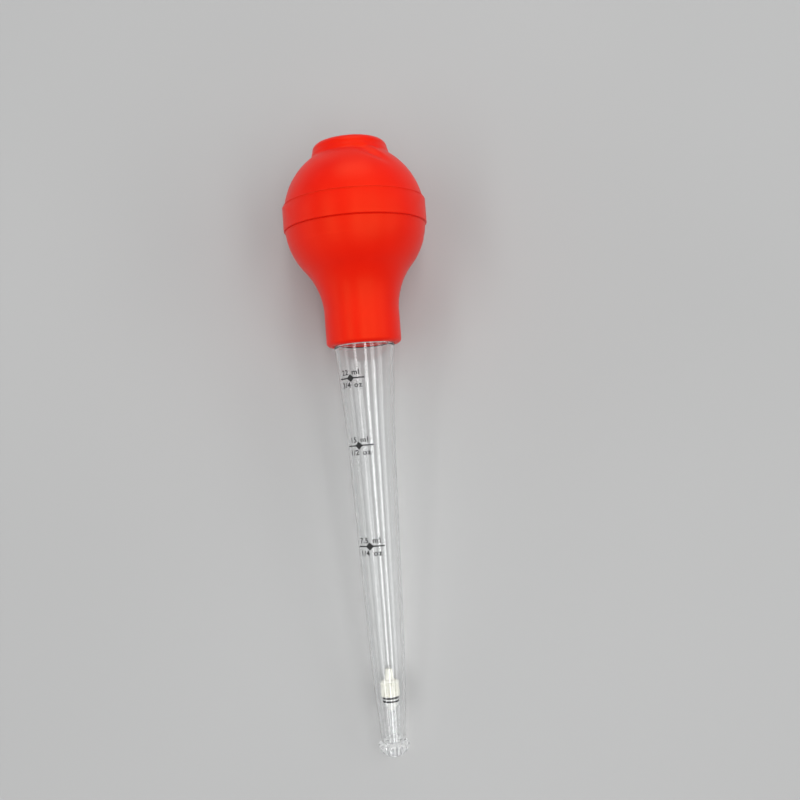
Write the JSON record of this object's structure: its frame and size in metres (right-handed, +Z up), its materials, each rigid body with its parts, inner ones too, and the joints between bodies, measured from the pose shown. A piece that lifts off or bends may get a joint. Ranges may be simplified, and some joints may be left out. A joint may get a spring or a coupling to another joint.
{
  "type": "squeeze bulb baster pipette",
  "caption": "Squeeze-bulb filler: a round silicone bulb on a tapered clear graduated tube, with a drip-stop valve on a stem inside a faceted tip.",
  "frame": {"origin": "on the table, below the middle of the object's length and width, with the object lying as it rests: the bulb's belt and the tip knob touch the table", "axes": "+Y points along the table from the tip to the bulb, +Z is up, +X is to the right when looking from the tip to the bulb; the tube's own axis rises towards the bulb by 6.23 degrees in the YZ plane"},
  "size_m": [0.0578, 0.2448, 0.0582],
  "materials": {
    "red_silicone": "matte",
    "clear_tube": "clear",
    "clear_tip": "clear",
    "white_hub": "satin",
    "ivory_cap": "satin",
    "black_seal": "satin",
    "soft_disc": "matte"
  },
  "bodies": {
    "valve_stick": {"tip_nozzle": "clear_tip", "valve_hub": "white_hub", "seal_ring_lower": "black_seal", "seal_ring_upper": "black_seal"},
    "tube": {"graduated_tube": "clear_tube"},
    "bulb": {"squeeze_bulb": "red_silicone"},
    "cap_liner": {"valve_disc": "soft_disc"},
    "cap": {"valve_cap": "ivory_cap"}
  },
  "joints": [
    {"name": "tube_pull", "type": "slide", "parent": "valve_stick", "child": "tube", "axis": [0, 0.9941, 0.1085], "range_m": [0, 0.04]},
    {"name": "bulb_pull", "type": "slide", "parent": "tube", "child": "bulb", "axis": [0, 0.9941, 0.1085], "range_m": [0, 0.03]},
    {"name": "cap_lift", "type": "slide", "parent": "valve_stick", "child": "cap_liner", "axis": [0, 0.9941, 0.1085], "range_m": [0, 0.0036]},
    {"name": "cap_turn", "type": "hinge", "parent": "cap_liner", "child": "cap", "pos_m": [0, -0.09898, 0.0082], "axis": [0, 0.9941, 0.1085], "range_deg": [0, 1080]}
  ],
  "couplings": [
    {"joint": "cap_turn", "follows": "cap_lift", "rad_per_m": 5236}
  ]
}
